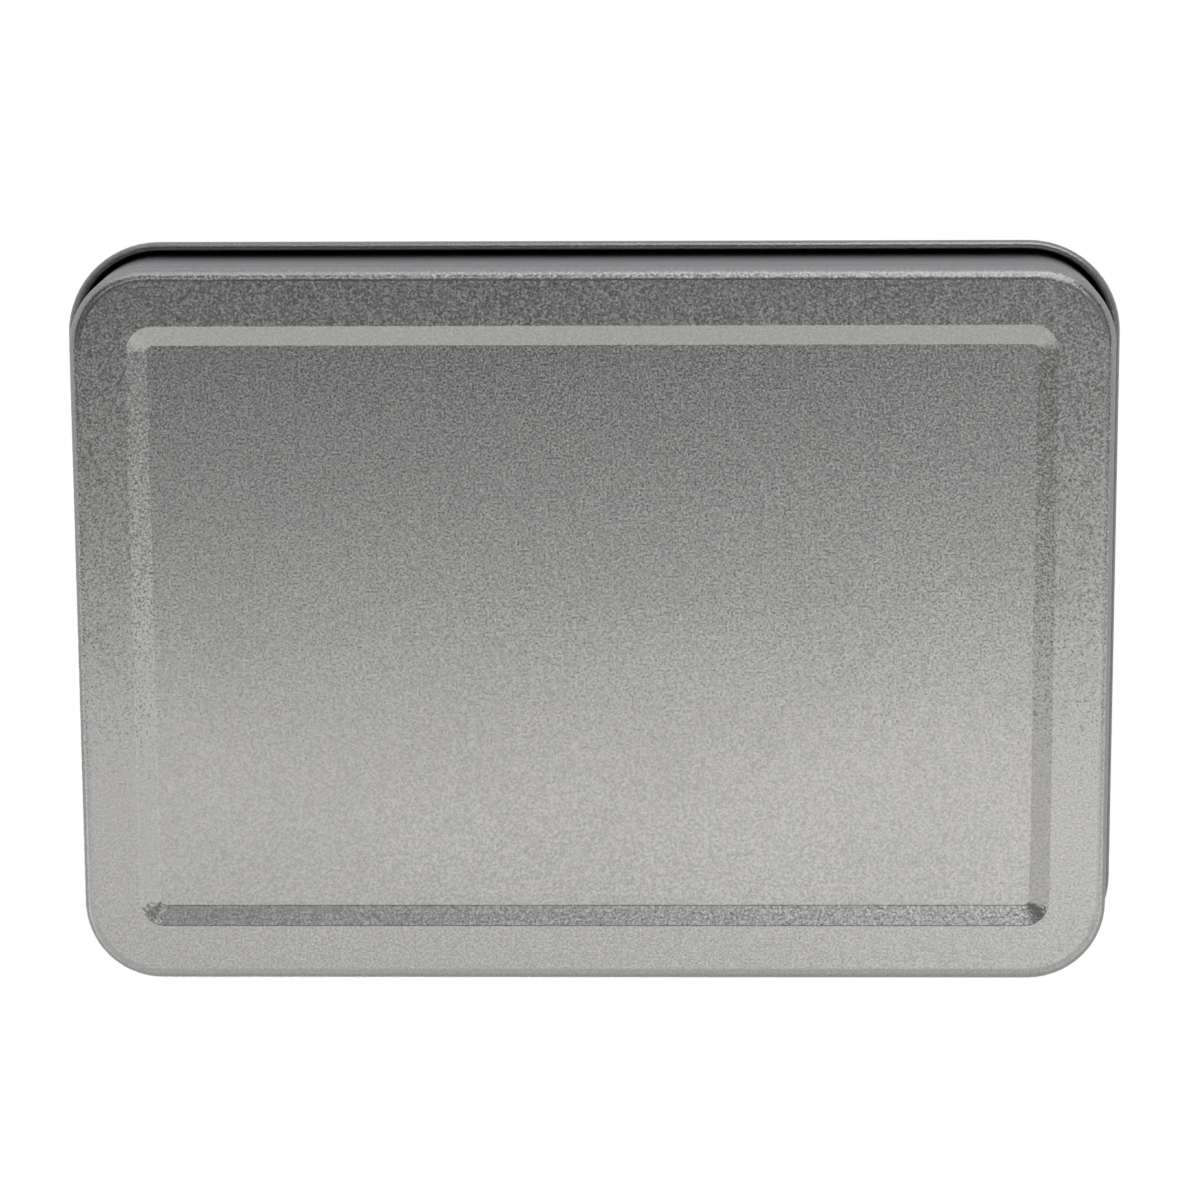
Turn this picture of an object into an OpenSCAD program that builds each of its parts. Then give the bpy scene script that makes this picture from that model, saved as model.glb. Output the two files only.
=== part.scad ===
// Flat rectangular tin with a hinged lid, for a deck of cards, a disc or a small game.
// The base is one drawn tray and the lid is one drawn cover with a rolled edge.
// The lid turns on a steel wire that lies in its own rolled edge at the back,
// and two straps on the base are rolled round that wire.
// The tin lies on its base: X is its length, the hinge is at the back on +Y, Z is up.
// All sizes are in millimetres.

/* [Sheet] */
// thickness of the tinplate
sheet = 0.3; // [0.2:0.05:0.5]
// height of the closed tin, from the table to the top of the lid's raised panel
tin_h = 30; // [22:0.5:60]

/* [Base] */
// length of the base over its walls
base_w = 190; // [120:1:260]
// width of the base over its walls
base_d = 133.4; // [90:0.1:200]
// corner radius of the base seen from above
base_corner_r = 14.4; // [9:0.1:25]
// radius of the edge between the base's wall and its underside
base_edge_r = 2.3; // [1.2:0.1:4]
// height of base wall that shows below the lid's rolled edge
base_show = 19.5; // [12:0.5:45]
// radius of the curl rolled inward along the base's mouth
mouth_curl_r = 0.85; // [0.7:0.05:1.5]
// play between the base's mouth and the closed lid above it
mouth_play = 0.3; // [0.2:0.05:1]

/* [Panels] */
// flat border round the recessed panel in the base
panel_border = 10.5; // [6:0.5:25]
// depth that the base's panel is pressed in
panel_depth = 1.4; // [0.5:0.1:2]
// width of the pressed step round the base's panel, seen from above
base_step_w = 3.7; // [1.5:0.1:8]
// width of the pressed step round the lid's panel
lid_step_w = 2.8; // [1.5:0.1:8]
// width of the bend at each end of a pressed step
step_bend = 0.15; // [0.05:0.05:0.5]
// corner radius of the flat part of a panel
panel_corner_r = 1; // [0.6:0.1:6]
// height that the lid's panel stands up, less than the recess so that tins stack
lid_panel_h = 0.6; // [0.4:0.1:1.8]
// play all round between a lid's raised panel and the recess of the tin stacked on it
stack_play = 0.5; // [0.2:0.1:2]

/* [Lid] */
// gap between the base's wall and the lid's skirt
lid_gap = 0.9; // [0.4:0.05:1.5]
// corner radius of the lid's skirt on its inner face
lid_corner_r = 15.5; // [9:0.1:25]
// radius of the edge between the lid's skirt and its top
lid_edge_r = 2.3; // [1.2:0.1:4]
// opening left in the rolled edge, in degrees
curl_mouth = 70; // [40:5:120]

/* [Hinge] */
// diameter of the wire that the lid turns on
wire_d = 1; // [0.8:0.1:1.6]
// play between the wire and what is rolled round it, on the radius
wire_fit = 0.05; // [0.03:0.01:0.1]
// length of wire left short of the straight part of the rolled edge, at each end
wire_short = 1.5; // [0.5:0.5:5]
// width of a hinge strap
strap_w = 20; // [12:1:40]
// distance of each strap's centre from where the base's round corner starts
strap_inset = 29; // [15:1:60]
// height of the strap's flat leaf on the base's wall
leaf_h = 7; // [4:0.5:12]
// height of the slanted part that carries the strap out to the wire
leaf_rise = 1.6; // [1:0.1:4]
// play at each side of a strap in its window in the lid
window_play = 0.5; // [0.3:0.1:2]
// diameter of a weld mark on the leaf
weld_d = 2.4; // [1.5:0.1:4]
// depth of a weld mark
weld_sink = 0.08; // [0.05:0.01:0.15]
// distance between the two weld marks on a leaf
weld_span = 10; // [6:1:24]

/* [Hidden] */
$fn = 48;

// rolled edge of the lid: it just holds the wire
curl_r = wire_d / 2 + wire_fit + sheet;
curl_z = base_show + curl_r;
// outer top of the lid's flat border
lid_top_z = tin_h - lid_panel_h;
// underside of the lid's border, and the mouth of the base below it
lid_under_z = lid_top_z - sheet;
mouth_z = lid_under_z - mouth_play;
// plan sizes of the lid over the inner face of its skirt
lid_w = base_w + 2 * lid_gap;
lid_d = base_d + 2 * lid_gap;
// axis of the hinge, in the middle of the rolled edge at the back
hinge_y = lid_d / 2 + curl_r;
strap_x = base_w / 2 - base_corner_r - strap_inset;
// lap of a pressed step on the flats beside it
step_lap = panel_corner_r / 2;
// outline of the recess and of the raised panel, at the outside of the step
recess_w = base_w - 2 * panel_border;
recess_d = base_d - 2 * panel_border;
raised_w = recess_w - 2 * stack_play;
raised_d = recess_d - 2 * stack_play;

tin_grey = [0.72, 0.72, 0.70];
wire_grey = [0.60, 0.61, 0.62];

// flat piece of a ring between two angles, a1 less than 180 past a0
module arc_piece(ri, ro, a0, a1) {
    far = 3 * ro;
    mid = (a0 + a1) / 2;
    intersection() {
        difference() {
            circle(r = ro);
            circle(r = ri);
        }
        polygon([
            [0, 0],
            [far * cos(a0), far * sin(a0)],
            [far * cos(mid), far * sin(mid)],
            [far * cos(a1), far * sin(a1)]
        ]);
    }
}

// ring with an opening left between two angles
module open_ring(ri, ro, a0, a1) {
    far = 3 * ro;
    mid = (a0 + a1) / 2;
    difference() {
        circle(r = ro);
        circle(r = ri);
        polygon([
            [0, 0],
            [far * cos(a0), far * sin(a0)],
            [far * cos(mid), far * sin(mid)],
            [far * cos(a1), far * sin(a1)]
        ]);
    }
}

// carries a profile round a rectangle with round corners;
// in the profile X is measured outward from the corner's centre and Y is height
module round_about(w, d, r) {
    for (i = [0 : 3]) {
        run_l = i % 2 == 0 ? d : w;
        run_x = i % 2 == 0 ? w : d;
        rotate([0, 0, 90 * i]) {
            translate([run_x / 2 - r, 0, 0])
                rotate([90, 0, 0])
                    linear_extrude(height = run_l - 2 * r, center = true)
                        children();
            translate([run_x / 2 - r, run_l / 2 - r, 0])
                rotate_extrude(angle = 90)
                    children();
        }
    }
}

// flat outline with round corners
module round_flat(w, d, r) {
    square([w - 2 * r, d], center = true);
    square([w, d - 2 * r], center = true);
    for (x = [-1, 1], y = [-1, 1])
        translate([x * (w / 2 - r), y * (d / 2 - r)])
            circle(r = r);
}

// profile of the pressed step: the sheet runs inward from X = 0 and climbs by the rise;
// each bend is drawn as one short flat at half the slope, and both ends lap the flats
module step_profile(rise, step_w) {
    grade = rise / (step_w - step_bend);
    half = step_bend * grade / 2;
    lift = sheet * tan(atan(grade) / 4);
    polygon([
        [step_lap, 0],
        [0, 0],
        [-step_bend, half],
        [step_bend - step_w, rise - half],
        [-step_w, rise],
        [-step_w - step_lap, rise],
        [-step_w - step_lap, rise + sheet],
        [lift - step_w, rise + sheet],
        [step_bend - step_w + 3 * lift, rise - half + sheet],
        [3 * lift - step_bend, half + sheet],
        [lift, sheet],
        [step_lap, sheet]
    ]);
}

// pressed step with the flat panel inside it, its lower face at Z = 0 outside
module pressed_panel(w, d, rise, step_w) {
    corner = panel_corner_r + step_w;
    round_about(w, d, corner)
        translate([corner, 0])
            step_profile(rise, step_w);
    translate([0, 0, rise])
        linear_extrude(height = sheet)
            round_flat(w - 2 * step_w, d - 2 * step_w, panel_corner_r);
}

// flat border between an outer outline and the pressed step
module flat_border(w, d, r, hole_w, hole_d, step_w) {
    linear_extrude(height = sheet)
        difference() {
            round_flat(w, d, r);
            round_flat(hole_w, hole_d, panel_corner_r + step_w);
        }
}

// section of the base's side: round edge, wall, and a curl rolled inward at the mouth
module base_side() {
    r = base_corner_r;
    translate([r - base_edge_r, base_edge_r])
        arc_piece(base_edge_r - sheet, base_edge_r, 270, 360);
    translate([r - sheet, base_edge_r])
        square([sheet, mouth_z - mouth_curl_r - base_edge_r]);
    translate([r - mouth_curl_r, mouth_z - mouth_curl_r])
        open_ring(mouth_curl_r - sheet, mouth_curl_r, 270, 360);
}

// section of the lid's side: rolled edge, skirt and round top edge
module lid_side() {
    r = lid_corner_r;
    translate([r + curl_r, curl_z])
        open_ring(curl_r - sheet, curl_r, 180 - curl_mouth, 180);
    translate([r, curl_z])
        square([sheet, lid_top_z - lid_edge_r - curl_z]);
    translate([r + sheet - lid_edge_r, lid_top_z - lid_edge_r])
        arc_piece(lid_edge_r - sheet, lid_edge_r, 0, 90);
}

// opening in the lid's skirt and rolled edge for one strap
module strap_window(x) {
    w = strap_w + 2 * window_play;
    low = curl_z - curl_r - 1;
    high = curl_z + curl_r + window_play;
    translate([x - w / 2, lid_d / 2 - 1, low])
        cube([w, 2 * curl_r + 2, high - low]);
}

module base_shell() {
    color(tin_grey) {
        flat_border(base_w - 2 * base_edge_r, base_d - 2 * base_edge_r,
            base_corner_r - base_edge_r, recess_w, recess_d, base_step_w);
        pressed_panel(recess_w, recess_d, panel_depth, base_step_w);
        round_about(base_w, base_d, base_corner_r)
            base_side();
    }
}

module lid_shell() {
    top_w = lid_w + 2 * sheet - 2 * lid_edge_r;
    top_d = lid_d + 2 * sheet - 2 * lid_edge_r;
    color(tin_grey) {
        translate([0, 0, lid_under_z]) {
            flat_border(top_w, top_d, lid_corner_r + sheet - lid_edge_r,
                raised_w, raised_d, lid_step_w);
            pressed_panel(raised_w, raised_d, lid_panel_h, lid_step_w);
        }
        difference() {
            round_about(lid_w, lid_d, lid_corner_r)
                lid_side();
            strap_window(-strap_x);
            strap_window(strap_x);
        }
    }
}

module hinge_wire() {
    run = lid_w - 2 * lid_corner_r - 2 * wire_short;
    color(wire_grey)
        translate([0, hinge_y, curl_z])
            rotate([0, 90, 0])
                cylinder(d = wire_d, h = run, center = true);
}

// strap: a leaf welded flat on the base's wall, a slant, and a loop round the wire
module hinge_strap() {
    wall = base_d / 2;
    loop = hinge_y - curl_r;
    knee = curl_z - curl_r - leaf_rise;
    color(tin_grey)
        difference() {
            rotate([90, 0, 90])
                linear_extrude(height = strap_w, center = true) {
                    polygon([
                        [wall, knee - leaf_h],
                        [wall + sheet, knee - leaf_h],
                        [wall + sheet, knee],
                        [loop + sheet, knee + leaf_rise],
                        [loop + sheet, curl_z],
                        [loop, curl_z],
                        [loop, knee + leaf_rise],
                        [wall, knee]
                    ]);
                    translate([hinge_y, curl_z])
                        open_ring(curl_r - sheet, curl_r, 180, 180 + curl_mouth);
                }
            for (x = [-1, 1])
                translate([x * weld_span / 2, wall + sheet - weld_sink, knee - leaf_h / 2])
                    rotate([-90, 0, 0])
                        cylinder(d = weld_d, h = 1);
        }
}

module hinge_strap_left() {
    translate([-strap_x, 0, 0])
        hinge_strap();
}

module hinge_strap_right() {
    translate([strap_x, 0, 0])
        hinge_strap();
}

base_shell();
lid_shell();
hinge_wire();
hinge_strap_left();
hinge_strap_right();
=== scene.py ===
"""Looks for a closed rectangular tin of frosted tinplate, seen from its underside.

The tin lies on its base at Z = 0, its hinge at the back on +Y. All lengths are in metres.
The photograph looks at the base from below and from a little in front of it, so the floor
shows only to a camera above it, and a camera below it sees the white studio.
"""

import math

import bpy
from mathutils import Matrix, Vector


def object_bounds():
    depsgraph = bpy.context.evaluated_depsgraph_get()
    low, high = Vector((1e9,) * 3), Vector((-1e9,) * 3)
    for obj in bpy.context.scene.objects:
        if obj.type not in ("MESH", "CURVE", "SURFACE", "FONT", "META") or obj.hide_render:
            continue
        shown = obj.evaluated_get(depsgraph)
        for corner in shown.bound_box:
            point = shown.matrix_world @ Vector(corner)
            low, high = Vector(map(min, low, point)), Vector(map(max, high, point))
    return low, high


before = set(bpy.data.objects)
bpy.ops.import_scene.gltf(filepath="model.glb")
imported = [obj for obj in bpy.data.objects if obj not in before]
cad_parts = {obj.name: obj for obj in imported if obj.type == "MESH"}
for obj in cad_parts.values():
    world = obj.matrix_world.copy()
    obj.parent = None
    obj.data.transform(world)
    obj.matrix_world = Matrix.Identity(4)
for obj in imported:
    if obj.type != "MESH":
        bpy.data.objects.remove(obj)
cad_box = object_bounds()

MM = 0.001
TIN_CORNER = cad_box[1]    # the corner of the tin's box at the back, top right


# Small helpers for colours and node trees

def linear(hex_colour):
    """Linear RGBA from an sRGB hex colour such as '#A8A8A6'."""
    channels = [int(hex_colour[i:i + 2], 16) / 255 for i in (1, 3, 5)]
    curve = [c / 12.92 if c <= 0.04045 else ((c + 0.055) / 1.055) ** 2.4 for c in channels]
    return (*curve, 1.0)


def add_node(tree, kind, settings=None, links=None):
    """Adds a node, sets its properties or input values, and links its inputs."""
    node = tree.nodes.new(kind)
    for name, value in (settings or {}).items():
        if isinstance(name, str) and hasattr(node, name):
            setattr(node, name, value)
        else:
            node.inputs[name].default_value = value
    for name, source in (links or {}).items():
        tree.links.new(source, node.inputs[name])
    return node


def new_material(name):
    """An empty material with its output node, and its tree."""
    material = bpy.data.materials.new(name)
    material.use_nodes = True
    material.node_tree.nodes.clear()
    output = add_node(material.node_tree, "ShaderNodeOutputMaterial")
    return material, material.node_tree, output


def paint(node_name, material):
    """Gives a CAD node's object one material."""
    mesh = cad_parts[node_name].data
    mesh.materials.clear()
    mesh.materials.append(material)


# Tinplate

GRIT = 0.40 * MM             # width of a pebble left by the blasted rolls
PEBBLE_LEAN = 0.18           # how steeply a pebble's sides lean on the flats
STRETCHED_LEAN = 0.30        # and on the steps and edges, where pressing stretched the sheet
CLOUD = 28 * MM              # size of the faint clouds where the rolls have worn
FLAT_ROUGH = (0.28, 0.30)    # roughness of the flats, from cloud to cloud
WALL_ROUGH = 0.35            # roughness of the walls

# how level the surface is, from 0 on a wall to 1 on a flat
WALL_ENDS = (0.02, 0.16)     # here the smooth wall turns into the pebbled edge
STEP_ENDS = (0.94, 0.985)    # and here the slope of a step turns into a flat

LID_BORDER = 29.4 * MM       # height of the lid's flat border
EDGE_ROUND = 2.3 * MM        # height of the round edge, where the smooth wall begins
SHADE_BAND_HALF = 1.5 * MM         # half height of the dark band painted there: painted shade where the wall meets the round edge
SHADE_BAND_STRENGTH = 0.7          # how far that painted shade hides the metal's own colour


def pebble_facets(tree, grit, amount):
    """Surface normals that lean with the grit: the three channels of its noise give each
    pebble a way of its own to face."""
    lean = add_node(tree, "ShaderNodeVectorMath", {"operation": "SUBTRACT", 1: (0.5, 0.5, 0.5)},
                    {0: grit.outputs["Color"]})
    tilt = add_node(tree, "ShaderNodeVectorMath", {"operation": "SCALE"},
                    {0: lean.outputs["Vector"], "Scale": amount.outputs[0]})
    surface = add_node(tree, "ShaderNodeNewGeometry")
    tilted = add_node(tree, "ShaderNodeVectorMath", {"operation": "ADD"},
                      {0: surface.outputs["Normal"], 1: tilt.outputs["Vector"]})
    return add_node(tree, "ShaderNodeVectorMath", {"operation": "NORMALIZE"},
                    {0: tilted.outputs["Vector"]})


def painted_shade_band(tree, place):
    """Painted shade along the line where a wall meets its round edge: a soft dark band
    just above the base's round edge, and one as far below the lid's border."""
    middle = LID_BORDER / 2
    height = add_node(tree, "ShaderNodeSeparateXYZ", links={"Vector": place.outputs["Object"]})
    from_middle = add_node(tree, "ShaderNodeMath", {"operation": "SUBTRACT", 1: middle},
                           {0: height.outputs["Z"]})
    either_way = add_node(tree, "ShaderNodeMath", {"operation": "ABSOLUTE"},
                          {0: from_middle.outputs[0]})
    from_mark = add_node(tree, "ShaderNodeMath",
                         {"operation": "SUBTRACT", 1: middle - EDGE_ROUND - SHADE_BAND_HALF / 2},
                         {0: either_way.outputs[0]})
    distance = add_node(tree, "ShaderNodeMath", {"operation": "ABSOLUTE"},
                        {0: from_mark.outputs[0]})
    return add_node(tree, "ShaderNodeMapRange",
                    {"From Min": SHADE_BAND_HALF, "From Max": 0.0, "To Max": SHADE_BAND_STRENGTH},
                    {"Value": distance.outputs[0]})


def frosted_tinplate():
    """Tinplate rolled between blasted rolls, then drawn: grey metal with a fine pebbled
    sparkle on the flats, which shows most where the reflection goes from dark to bright.
    Drawing has ironed the pebbles out of the walls, so these are even and a little duller."""
    material, tree, output = new_material("frosted_tinplate")
    place = add_node(tree, "ShaderNodeTexCoord")
    facing = add_node(tree, "ShaderNodeSeparateXYZ", links={"Vector": place.outputs["Normal"]})
    level = add_node(tree, "ShaderNodeMath", {"operation": "ABSOLUTE"},
                     {0: facing.outputs["Z"]})
    pebbled = add_node(tree, "ShaderNodeMapRange",
                       {"interpolation_type": "SMOOTHSTEP",
                        "From Min": WALL_ENDS[0], "From Max": WALL_ENDS[1]},
                       {"Value": level.outputs[0]})
    steepness = add_node(tree, "ShaderNodeMapRange",
                         {"From Min": STEP_ENDS[0], "From Max": STEP_ENDS[1],
                          "To Min": STRETCHED_LEAN, "To Max": PEBBLE_LEAN},
                         {"Value": level.outputs[0]})
    amount = add_node(tree, "ShaderNodeMath", {"operation": "MULTIPLY"},
                      {0: pebbled.outputs["Result"], 1: steepness.outputs["Result"]})

    grit = add_node(tree, "ShaderNodeTexNoise",
                    {"Scale": 1 / GRIT, "Detail": 0.0},
                    {"Vector": place.outputs["Object"]})
    facets = pebble_facets(tree, grit, amount)

    cloud = add_node(tree, "ShaderNodeTexNoise",
                     {"Scale": 1 / CLOUD, "Detail": 3.0, "Roughness": 0.5},
                     {"Vector": place.outputs["Object"]})
    flat_rough = add_node(tree, "ShaderNodeMapRange",
                          {"From Min": 0.3, "From Max": 0.7,
                           "To Min": FLAT_ROUGH[0], "To Max": FLAT_ROUGH[1]},
                          {"Value": cloud.outputs["Fac"]})
    rough = add_node(tree, "ShaderNodeMix", {"data_type": "FLOAT", "A": WALL_ROUGH},
                     {"Factor": pebbled.outputs["Result"], "B": flat_rough.outputs["Result"]})

    tone = add_node(tree, "ShaderNodeValToRGB", links={"Fac": grit.outputs["Fac"]})
    tone.color_ramp.elements[0].position = 0.30
    tone.color_ramp.elements[0].color = linear("#8A8A8A")
    tone.color_ramp.elements[1].position = 0.72
    tone.color_ramp.elements[1].color = linear("#989796")
    # the dark band painted just above the base's round edge and below the lid's border is
    # painted shade
    shade_band = painted_shade_band(tree, place)
    colour = add_node(tree, "ShaderNodeMix",
                      {"data_type": "RGBA", 7: linear("#6E6E6E")},
                      {0: shade_band.outputs["Result"], 6: tone.outputs["Color"]})

    # the tint makes the metal a little darker and cooler where it is seen edge on
    metal = add_node(tree, "ShaderNodeBsdfPrincipled",
                     {"Metallic": 1.0, "Specular Tint": linear("#D8DCE2")},
                     {"Base Color": colour.outputs[2],
                      "Roughness": rough.outputs["Result"],
                      "Normal": facets.outputs["Vector"]})
    tree.links.new(metal.outputs["BSDF"], output.inputs["Surface"])
    return material


# Hinge metal

STRAP_LINE = 0.3 * MM        # spacing of the strip's rolling lines
STRAP_DRAWN_OUT = 0.06       # their spacing as a share of their length
STRAP_RELIEF = 0.02 * MM     # depth of the lines
WIRE_LINE = 0.15 * MM        # spacing of the wire's draw lines
WIRE_DRAWN_OUT = 0.02


def lines_along_x(tree, spacing, drawn_out):
    """Fine lines along X, as rolling and drawing leave them: noise drawn out that way."""
    place = add_node(tree, "ShaderNodeTexCoord")
    stretch = add_node(tree, "ShaderNodeMapping", {"Scale": (drawn_out, 1.0, 1.0)},
                       {"Vector": place.outputs["Object"]})
    return add_node(tree, "ShaderNodeTexNoise",
                    {"Scale": 1 / spacing, "Detail": 2.0},
                    {"Vector": stretch.outputs["Vector"]})


def strap_steel():
    """Bare tinned strip, rolled: satin, with fine lines along the strap's width."""
    material, tree, output = new_material("strap_steel")
    lines = lines_along_x(tree, STRAP_LINE, STRAP_DRAWN_OUT)
    tone = add_node(tree, "ShaderNodeValToRGB", links={"Fac": lines.outputs["Fac"]})
    tone.color_ramp.elements[0].position = 0.3
    tone.color_ramp.elements[0].color = linear("#7E7F7F")
    tone.color_ramp.elements[1].position = 0.7
    tone.color_ramp.elements[1].color = linear("#969694")
    bump = add_node(tree, "ShaderNodeBump",
                    {"Strength": 0.3, "Distance": STRAP_RELIEF},
                    {"Height": lines.outputs["Fac"]})
    metal = add_node(tree, "ShaderNodeBsdfPrincipled",
                     {"Metallic": 1.0, "Roughness": 0.3},
                     {"Base Color": tone.outputs["Color"], "Normal": bump.outputs["Normal"]})
    tree.links.new(metal.outputs["BSDF"], output.inputs["Surface"])
    return material


def drawn_wire():
    """Drawn steel wire: smoother and a little darker than the tinplate, with draw lines."""
    material, tree, output = new_material("drawn_wire")
    lines = lines_along_x(tree, WIRE_LINE, WIRE_DRAWN_OUT)
    tone = add_node(tree, "ShaderNodeValToRGB", links={"Fac": lines.outputs["Fac"]})
    tone.color_ramp.elements[0].color = linear("#6E7072")
    tone.color_ramp.elements[1].color = linear("#8A8B8B")
    metal = add_node(tree, "ShaderNodeBsdfPrincipled",
                     {"Metallic": 1.0, "Roughness": 0.24},
                     {"Base Color": tone.outputs["Color"]})
    tree.links.new(metal.outputs["BSDF"], output.inputs["Surface"])
    return material


tinplate = frosted_tinplate()
paint("base_shell", tinplate)
paint("lid_shell", tinplate)
paint("hinge_wire", drawn_wire())
strap = strap_steel()
for side in ("left", "right"):
    paint("hinge_strap_" + side, strap)


# Studio: a floor above which the lid is looked at, and a black cloth below for the base

FLOOR_SIZE = 8
FLOOR_Z = -0.1 * MM      # a hair below the tin's foot, so that the two never lie in one plane
OPEN_MARGIN = 4 * MM     # how far past the tin's outline the floor stays open to light
OPEN_FADE = 14 * MM      # and how softly it then closes
OPEN_FRONT = 24 * MM     # more opening in front, for the lamps that light the front edge
FLAG_RADIUS = 4.3
FLAG_Z = -1.6


def open_to_light(tree, place):
    """From 0 in the floor's opening under and round the tin to 1 where the floor is closed."""
    flat = add_node(tree, "ShaderNodeSeparateXYZ", links={"Vector": place.outputs["Object"]})
    past = []
    for axis, middle, reach in (("X", 0.0, TIN_CORNER.x),
                                ("Y", -OPEN_FRONT / 2, TIN_CORNER.y + OPEN_FRONT / 2)):
        from_middle = add_node(tree, "ShaderNodeMath", {"operation": "SUBTRACT", 1: middle},
                               {0: flat.outputs[axis]})
        either_way = add_node(tree, "ShaderNodeMath", {"operation": "ABSOLUTE"},
                              {0: from_middle.outputs[0]})
        past.append(add_node(tree, "ShaderNodeMath", {"operation": "SUBTRACT", 1: reach},
                             {0: either_way.outputs[0]}))
    outside = add_node(tree, "ShaderNodeMath", {"operation": "MAXIMUM"},
                       {0: past[0].outputs[0], 1: past[1].outputs[0]})
    return add_node(tree, "ShaderNodeMapRange",
                    {"interpolation_type": "SMOOTHSTEP",
                     "From Min": OPEN_MARGIN, "From Max": OPEN_MARGIN + OPEN_FADE},
                    {"Value": outside.outputs[0]})


def floor_paint():
    """Pale matt floor that keeps the tin's shadow. It is clear from below. Light passes its
    opening, so that the lamps below light the base, and a camera above never sees this."""
    material, tree, output = new_material("studio_floor")
    place = add_node(tree, "ShaderNodeTexCoord")
    closed = open_to_light(tree, place)
    ray = add_node(tree, "ShaderNodeLightPath")
    solid = add_node(tree, "ShaderNodeMath", {"operation": "MAXIMUM"},
                     {0: closed.outputs["Result"], 1: ray.outputs["Is Camera Ray"]})
    surface = add_node(tree, "ShaderNodeNewGeometry")
    above = add_node(tree, "ShaderNodeMath", {"operation": "SUBTRACT", 0: 1.0},
                     {1: surface.outputs["Backfacing"]})
    shown = add_node(tree, "ShaderNodeMath", {"operation": "MULTIPLY"},
                     {0: above.outputs[0], 1: solid.outputs[0]})
    speck = add_node(tree, "ShaderNodeTexNoise", {"Scale": 6.0, "Detail": 2.0},
                     {"Vector": place.outputs["Object"]})
    tone = add_node(tree, "ShaderNodeValToRGB", links={"Fac": speck.outputs["Fac"]})
    tone.color_ramp.elements[0].color = linear("#E6E6E4")
    tone.color_ramp.elements[1].color = linear("#EEEEEC")
    matt = add_node(tree, "ShaderNodeBsdfDiffuse", links={"Color": tone.outputs["Color"]})
    clear = add_node(tree, "ShaderNodeBsdfTransparent")
    mix = add_node(tree, "ShaderNodeMixShader",
                   links={0: shown.outputs[0], 1: clear.outputs[0], 2: matt.outputs[0]})
    tree.links.new(mix.outputs[0], output.inputs["Surface"])
    return material


def flag_cloth():
    """Black studio cloth, matt."""
    material, tree, output = new_material("flag_cloth")
    matt = add_node(tree, "ShaderNodeBsdfDiffuse", {"Color": linear("#161616")})
    tree.links.new(matt.outputs[0], output.inputs["Surface"])
    return material


def lay_floor():
    bpy.ops.object.select_all(action="DESELECT")
    bpy.ops.mesh.primitive_plane_add(size=FLOOR_SIZE, location=(0, 0, FLOOR_Z))
    floor = bpy.context.object
    floor.name = "studio_floor"
    floor.data.materials.append(floor_paint())


def hang_flag():
    """The black cloth behind the camera. The base mirrors it, so its bare metal reads grey."""
    bpy.ops.object.select_all(action="DESELECT")
    bpy.ops.mesh.primitive_circle_add(vertices=48, radius=FLAG_RADIUS, fill_type="NGON",
                                      location=(0, 0, FLAG_Z))
    flag = bpy.context.object
    flag.name = "black_flag"
    flag.data.materials.append(flag_cloth())
    flag.visible_camera = False


lay_floor()
hang_flag()


# Light: a white studio, with one soft lamp above for the lid and many below for the base

ROOM_LIGHT = 0.5         # the even light on matt surfaces, where the white background is 1
LAMP_REACH = 1.2         # how far the lamps below the tin stand from its foot
CARD_BACK = 0.08         # how far the bounce cards stand behind the middle of the tin
CARD_TINT = "#FFFEFA"    # and these are a little warmer than the lamps
SIDE_CARD = (1.0, 0.4)


def light_studio():
    """World: white behind the object and in its metal, and an even grey as light."""
    world = bpy.data.worlds.new("studio")
    bpy.context.scene.world = world
    world.use_nodes = True
    tree = world.node_tree
    tree.nodes.clear()
    ray = add_node(tree, "ShaderNodeLightPath")
    mirrored = add_node(tree, "ShaderNodeMath", {"operation": "ADD"},
                        {0: ray.outputs["Is Glossy Ray"],
                         1: ray.outputs["Is Transmission Ray"]})
    seen = add_node(tree, "ShaderNodeMath", {"operation": "ADD", "use_clamp": True},
                    {0: ray.outputs["Is Camera Ray"], 1: mirrored.outputs[0]})
    backdrop = add_node(tree, "ShaderNodeBackground",
                        {"Color": (1, 1, 1, 1), "Strength": 1.0})
    around = add_node(tree, "ShaderNodeBackground",
                      {"Color": (1, 1, 1, 1), "Strength": ROOM_LIGHT})
    mix = add_node(tree, "ShaderNodeMixShader",
                   links={0: seen.outputs[0], 1: around.outputs[0], 2: backdrop.outputs[0]})
    output = add_node(tree, "ShaderNodeOutputWorld")
    tree.links.new(mix.outputs[0], output.inputs["Surface"])


def add_lamp(name, place, aim, size, brightness, tint="#FFFFFF"):
    """A rectangular soft lamp at a place, turned to an aim, hidden from the camera.
    Its brightness is that of its face, on the scale where the white background is 1."""
    data = bpy.data.lights.new(name, "AREA")
    data.shape = "RECTANGLE"
    data.size, data.size_y = size
    data.energy = math.pi * size[0] * size[1] * brightness
    data.color = linear(tint)[:3]
    lamp = bpy.data.objects.new(name, data)
    bpy.context.collection.objects.link(lamp)
    lamp.location = place
    lamp.rotation_mode = "QUATERNION"
    lamp.rotation_quaternion = (Vector(aim) - Vector(place)).to_track_quat("-Z", "Y")
    lamp.visible_camera = False


def add_bounce_card(name, depth, height, brightness):
    """A card behind the tin that faces forward, its middle this deep below the tin's foot."""
    add_lamp(name, (0, CARD_BACK, -depth), (0, -1, -depth), (1.0, height), brightness,
             CARD_TINT)


def add_lamp_below(name, lean, middle, size, brightness):
    """A lamp below the tin that leans forward from straight down by an angle in degrees."""
    turn = math.radians(lean)
    place = (middle, -LAMP_REACH * math.sin(turn), -LAMP_REACH * math.cos(turn))
    add_lamp(name, place, (middle, 0, 0), size, brightness)


def add_side_card(name, lean, brightness):
    """A lamp below the tin that leans to the right by an angle in degrees."""
    turn = math.radians(lean)
    place = (LAMP_REACH * math.sin(turn), 0, -LAMP_REACH * math.cos(turn))
    add_lamp(name, place, (0, 0, 0), SIDE_CARD, brightness)


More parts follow.
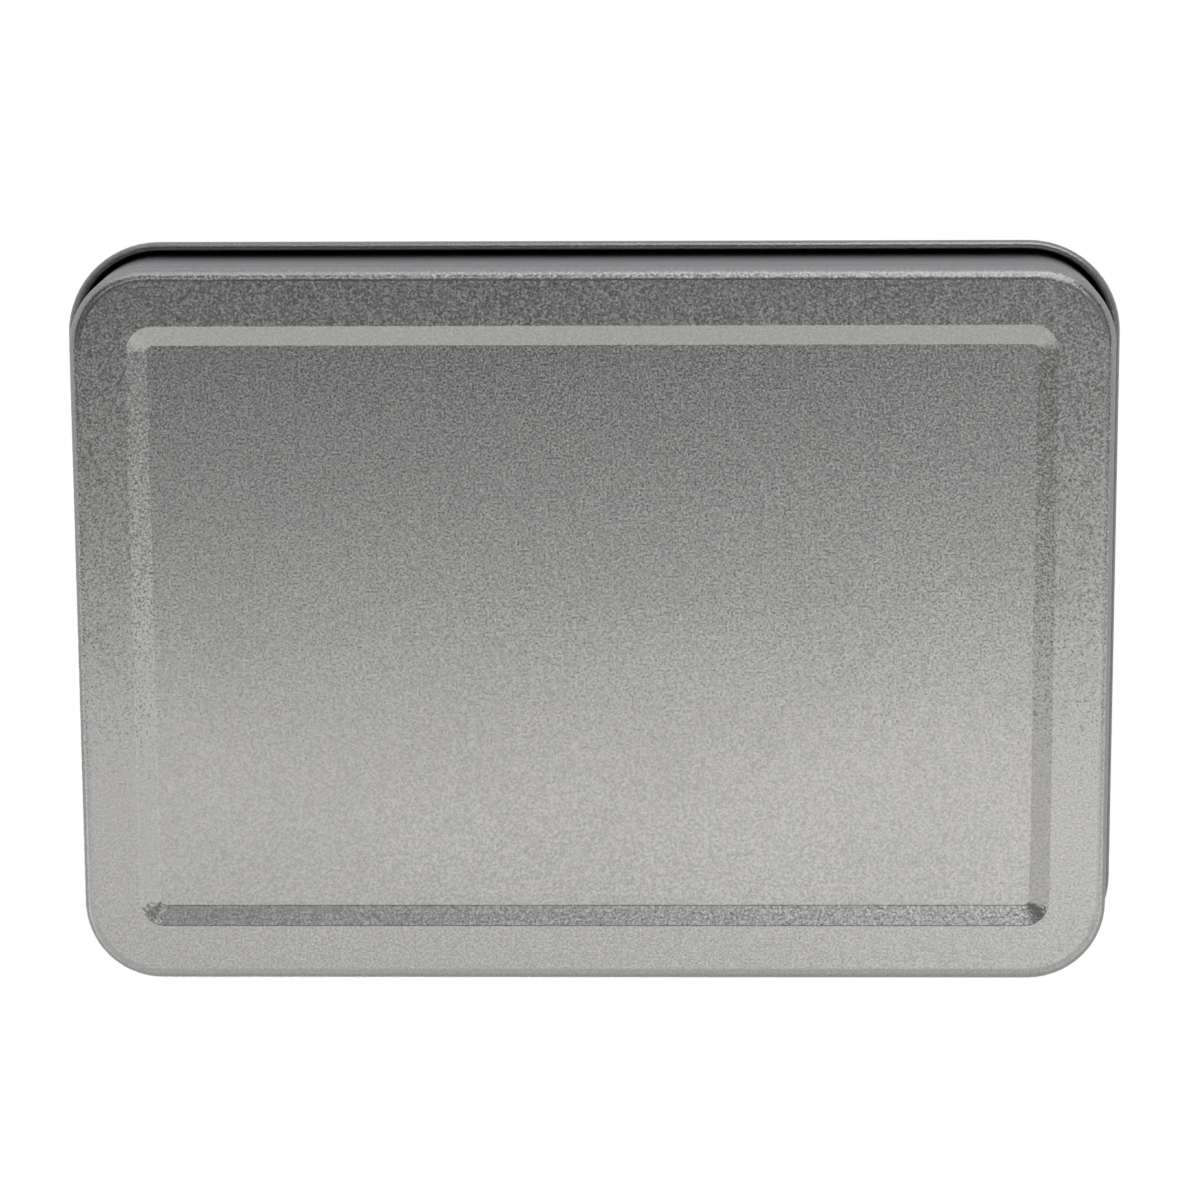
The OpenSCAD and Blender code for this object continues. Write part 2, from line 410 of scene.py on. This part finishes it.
light_studio()
add_lamp("key_softbox", (-0.5, 0.7, 1.2), (0, 0, 0), (1.2, 1.0), 2.2)

add_bounce_card("bounce_card_near", 0.0775, 0.145, 1.19)
add_bounce_card("bounce_card_far", 0.225, 0.15, 1.60)

add_lamp_below("rear_strip", -11, 0.0, (1.6, 0.126), 2.05)
add_lamp_below("rear_strip_right", -17, 0.4, (0.8, 0.126), 0.75)
add_lamp_below("front_strip_low", 24, 0.0, (1.6, 0.168), 2.13)
add_lamp_below("front_strip_right", 36, 0.4, (0.8, 0.168), 4.32)
add_lamp_below("front_window_left", 56, -0.4, (0.8, 0.252), 1.63)
add_lamp_below("front_window_right", 56, 0.4, (0.8, 0.252), 3.36)
add_lamp_below("front_strip_high", 68, 0.0, (1.6, 0.252), 1.20)

add_side_card("side_card_right_low", 20, 0.22)
add_side_card("side_card_right", 45, 0.62)
add_side_card("side_card_left", -45, 0.39)


# Camera: fitted to the straight edges in the photograph, on a 36 mm sensor

CAMERA_TILT = math.radians(11.263)    # from the base's normal, towards the front wall
CAMERA_YAW = math.radians(-0.913)
CAMERA_ROLL = math.radians(0.247)
CAMERA_DISTANCE = 759.9 * MM
CAMERA_AIM = Vector((1.35, -5.65, 0)) * MM
CAMERA_LENS = 124.5


def set_camera():
    data = bpy.data.cameras.new("photo_camera")
    data.lens = CAMERA_LENS
    data.sensor_width = 36
    data.clip_start = 0.05
    data.clip_end = 50
    forward = Vector((math.sin(CAMERA_YAW), math.sin(CAMERA_TILT),
                      math.cos(CAMERA_TILT) * math.cos(CAMERA_YAW))).normalized()
    right = forward.cross(Vector((0, -1, 0))).normalized()
    up = right.cross(forward)
    turn = Matrix.Rotation(CAMERA_ROLL, 3, forward)
    right, up = turn @ right, turn @ up
    axes = Matrix((right, up, -forward)).transposed().to_4x4()
    camera = bpy.data.objects.new("photo_camera", data)
    bpy.context.collection.objects.link(camera)
    camera.matrix_world = Matrix.Translation(CAMERA_AIM - forward * CAMERA_DISTANCE) @ axes
    bpy.context.scene.camera = camera


set_camera()
bpy.context.scene.view_settings.view_transform = "Standard"
